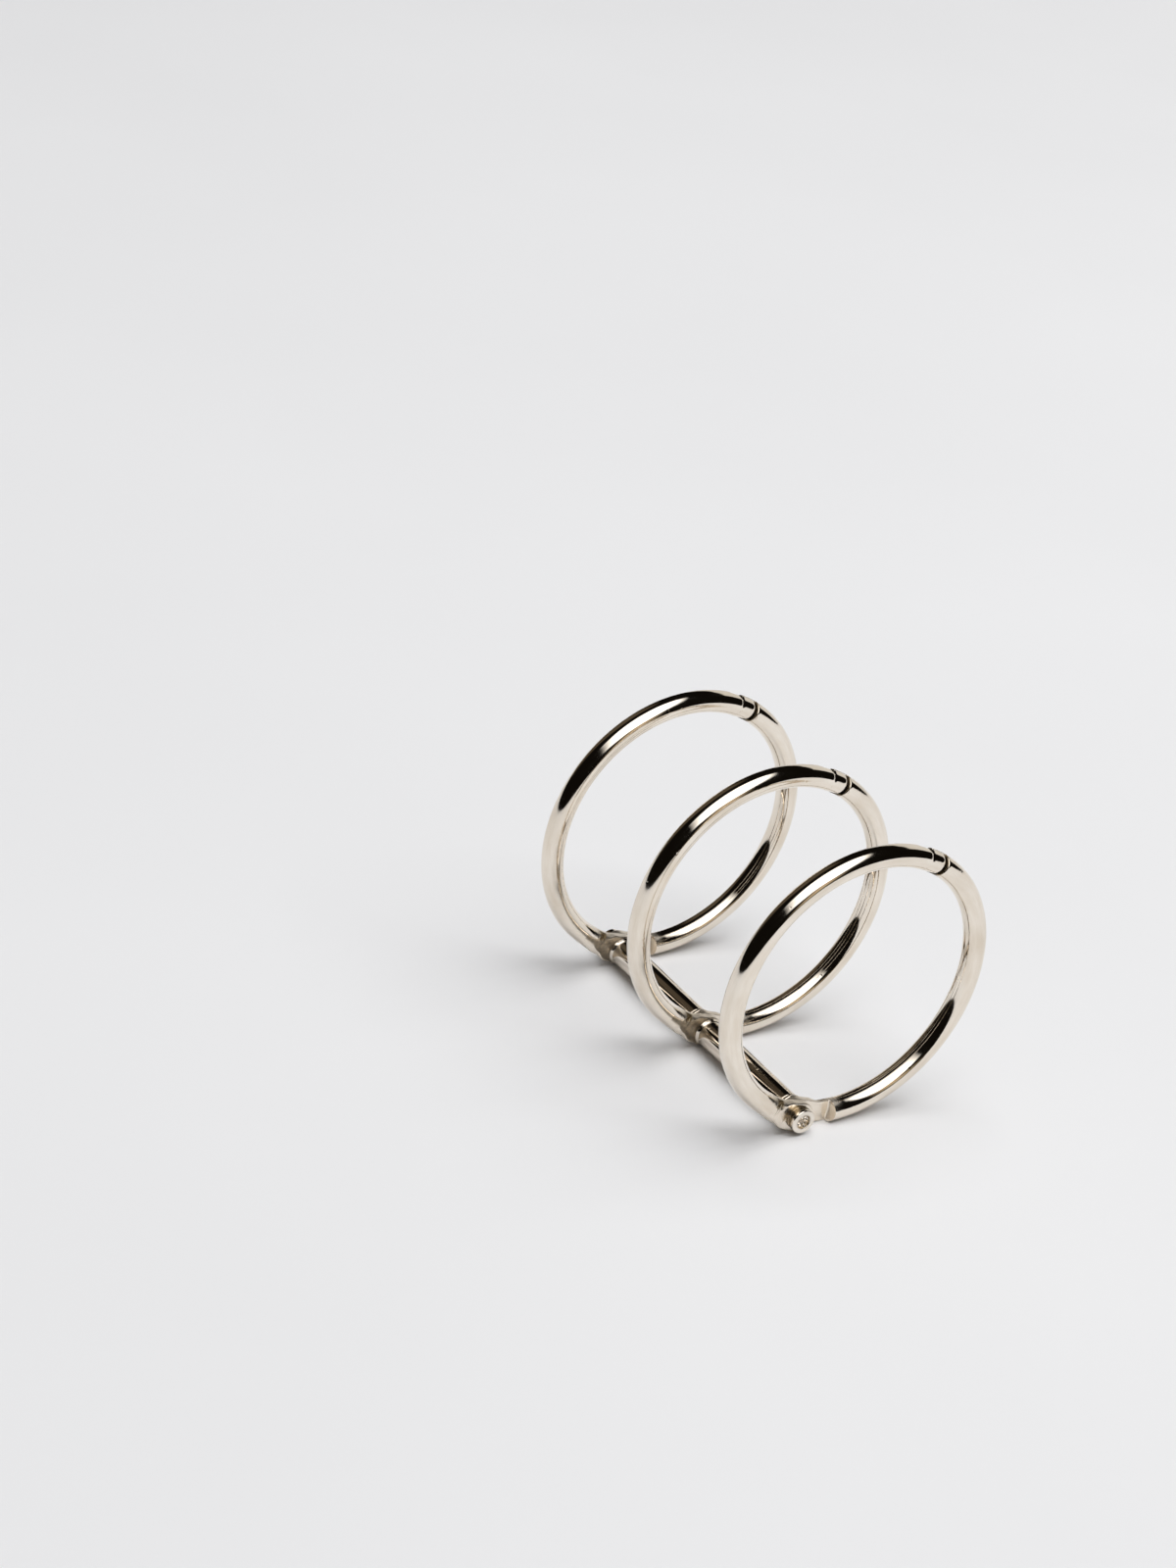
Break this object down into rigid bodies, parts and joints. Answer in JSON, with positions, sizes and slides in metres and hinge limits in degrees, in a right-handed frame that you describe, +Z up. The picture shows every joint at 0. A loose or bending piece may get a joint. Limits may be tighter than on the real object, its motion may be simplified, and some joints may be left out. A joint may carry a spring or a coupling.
{
  "type": "binder ring",
  "caption": "Hinged wire rings on one riveted pin with spacer tubes, each ring split into two half hoops that snap shut to hold punched sheets.",
  "frame": {"origin": "on the floor under the middle of the closed rings, half way along the pin", "axes": "+Y along the hinge pin from the punched head to the plain head, +X from the pin towards the right halves, +Z up"},
  "size_m": [0.0358, 0.0416, 0.0359],
  "materials": {
    "ring_wire": "polished nickel plate on steel wire",
    "tube_steel": "polished nickel plate on steel tube",
    "pin_steel": "nickel plate, punched at the riveted end"
  },
  "bodies": {
    "hinge_core": {"hinge_pin": "pin_steel", "front_spacer_tube": "tube_steel", "back_spacer_tube": "tube_steel"},
    "front_left": {"front_left_half": "ring_wire"},
    "middle_left": {"middle_left_half": "ring_wire"},
    "back_left": {"back_left_half": "ring_wire"},
    "front_right": {"front_right_half": "ring_wire"},
    "middle_right": {"middle_right_half": "ring_wire"},
    "back_right": {"back_right_half": "ring_wire"}
  },
  "joints": [
    {"name": "front_ring_swing", "type": "hinge", "parent": "hinge_core", "child": "front_left", "pos_m": [-0.00505, -0.019, 0.0019], "axis": [0, 1, 0], "continuous": true},
    {"name": "middle_ring_swing", "type": "hinge", "parent": "hinge_core", "child": "middle_left", "pos_m": [-0.00505, 0, 0.0019], "axis": [0, 1, 0], "continuous": true},
    {"name": "back_ring_swing", "type": "hinge", "parent": "hinge_core", "child": "back_left", "pos_m": [-0.00505, 0.019, 0.0019], "axis": [0, 1, 0], "continuous": true},
    {"name": "front_ring_opening", "type": "hinge", "parent": "front_left", "child": "front_right", "pos_m": [-0.00505, -0.019, 0.0019], "axis": [0, 1, 0], "range_deg": [0, 165]},
    {"name": "middle_ring_opening", "type": "hinge", "parent": "middle_left", "child": "middle_right", "pos_m": [-0.00505, 0, 0.0019], "axis": [0, 1, 0], "range_deg": [0, 165]},
    {"name": "back_ring_opening", "type": "hinge", "parent": "back_left", "child": "back_right", "pos_m": [-0.00505, 0.019, 0.0019], "axis": [0, 1, 0], "range_deg": [0, 165]}
  ]
}
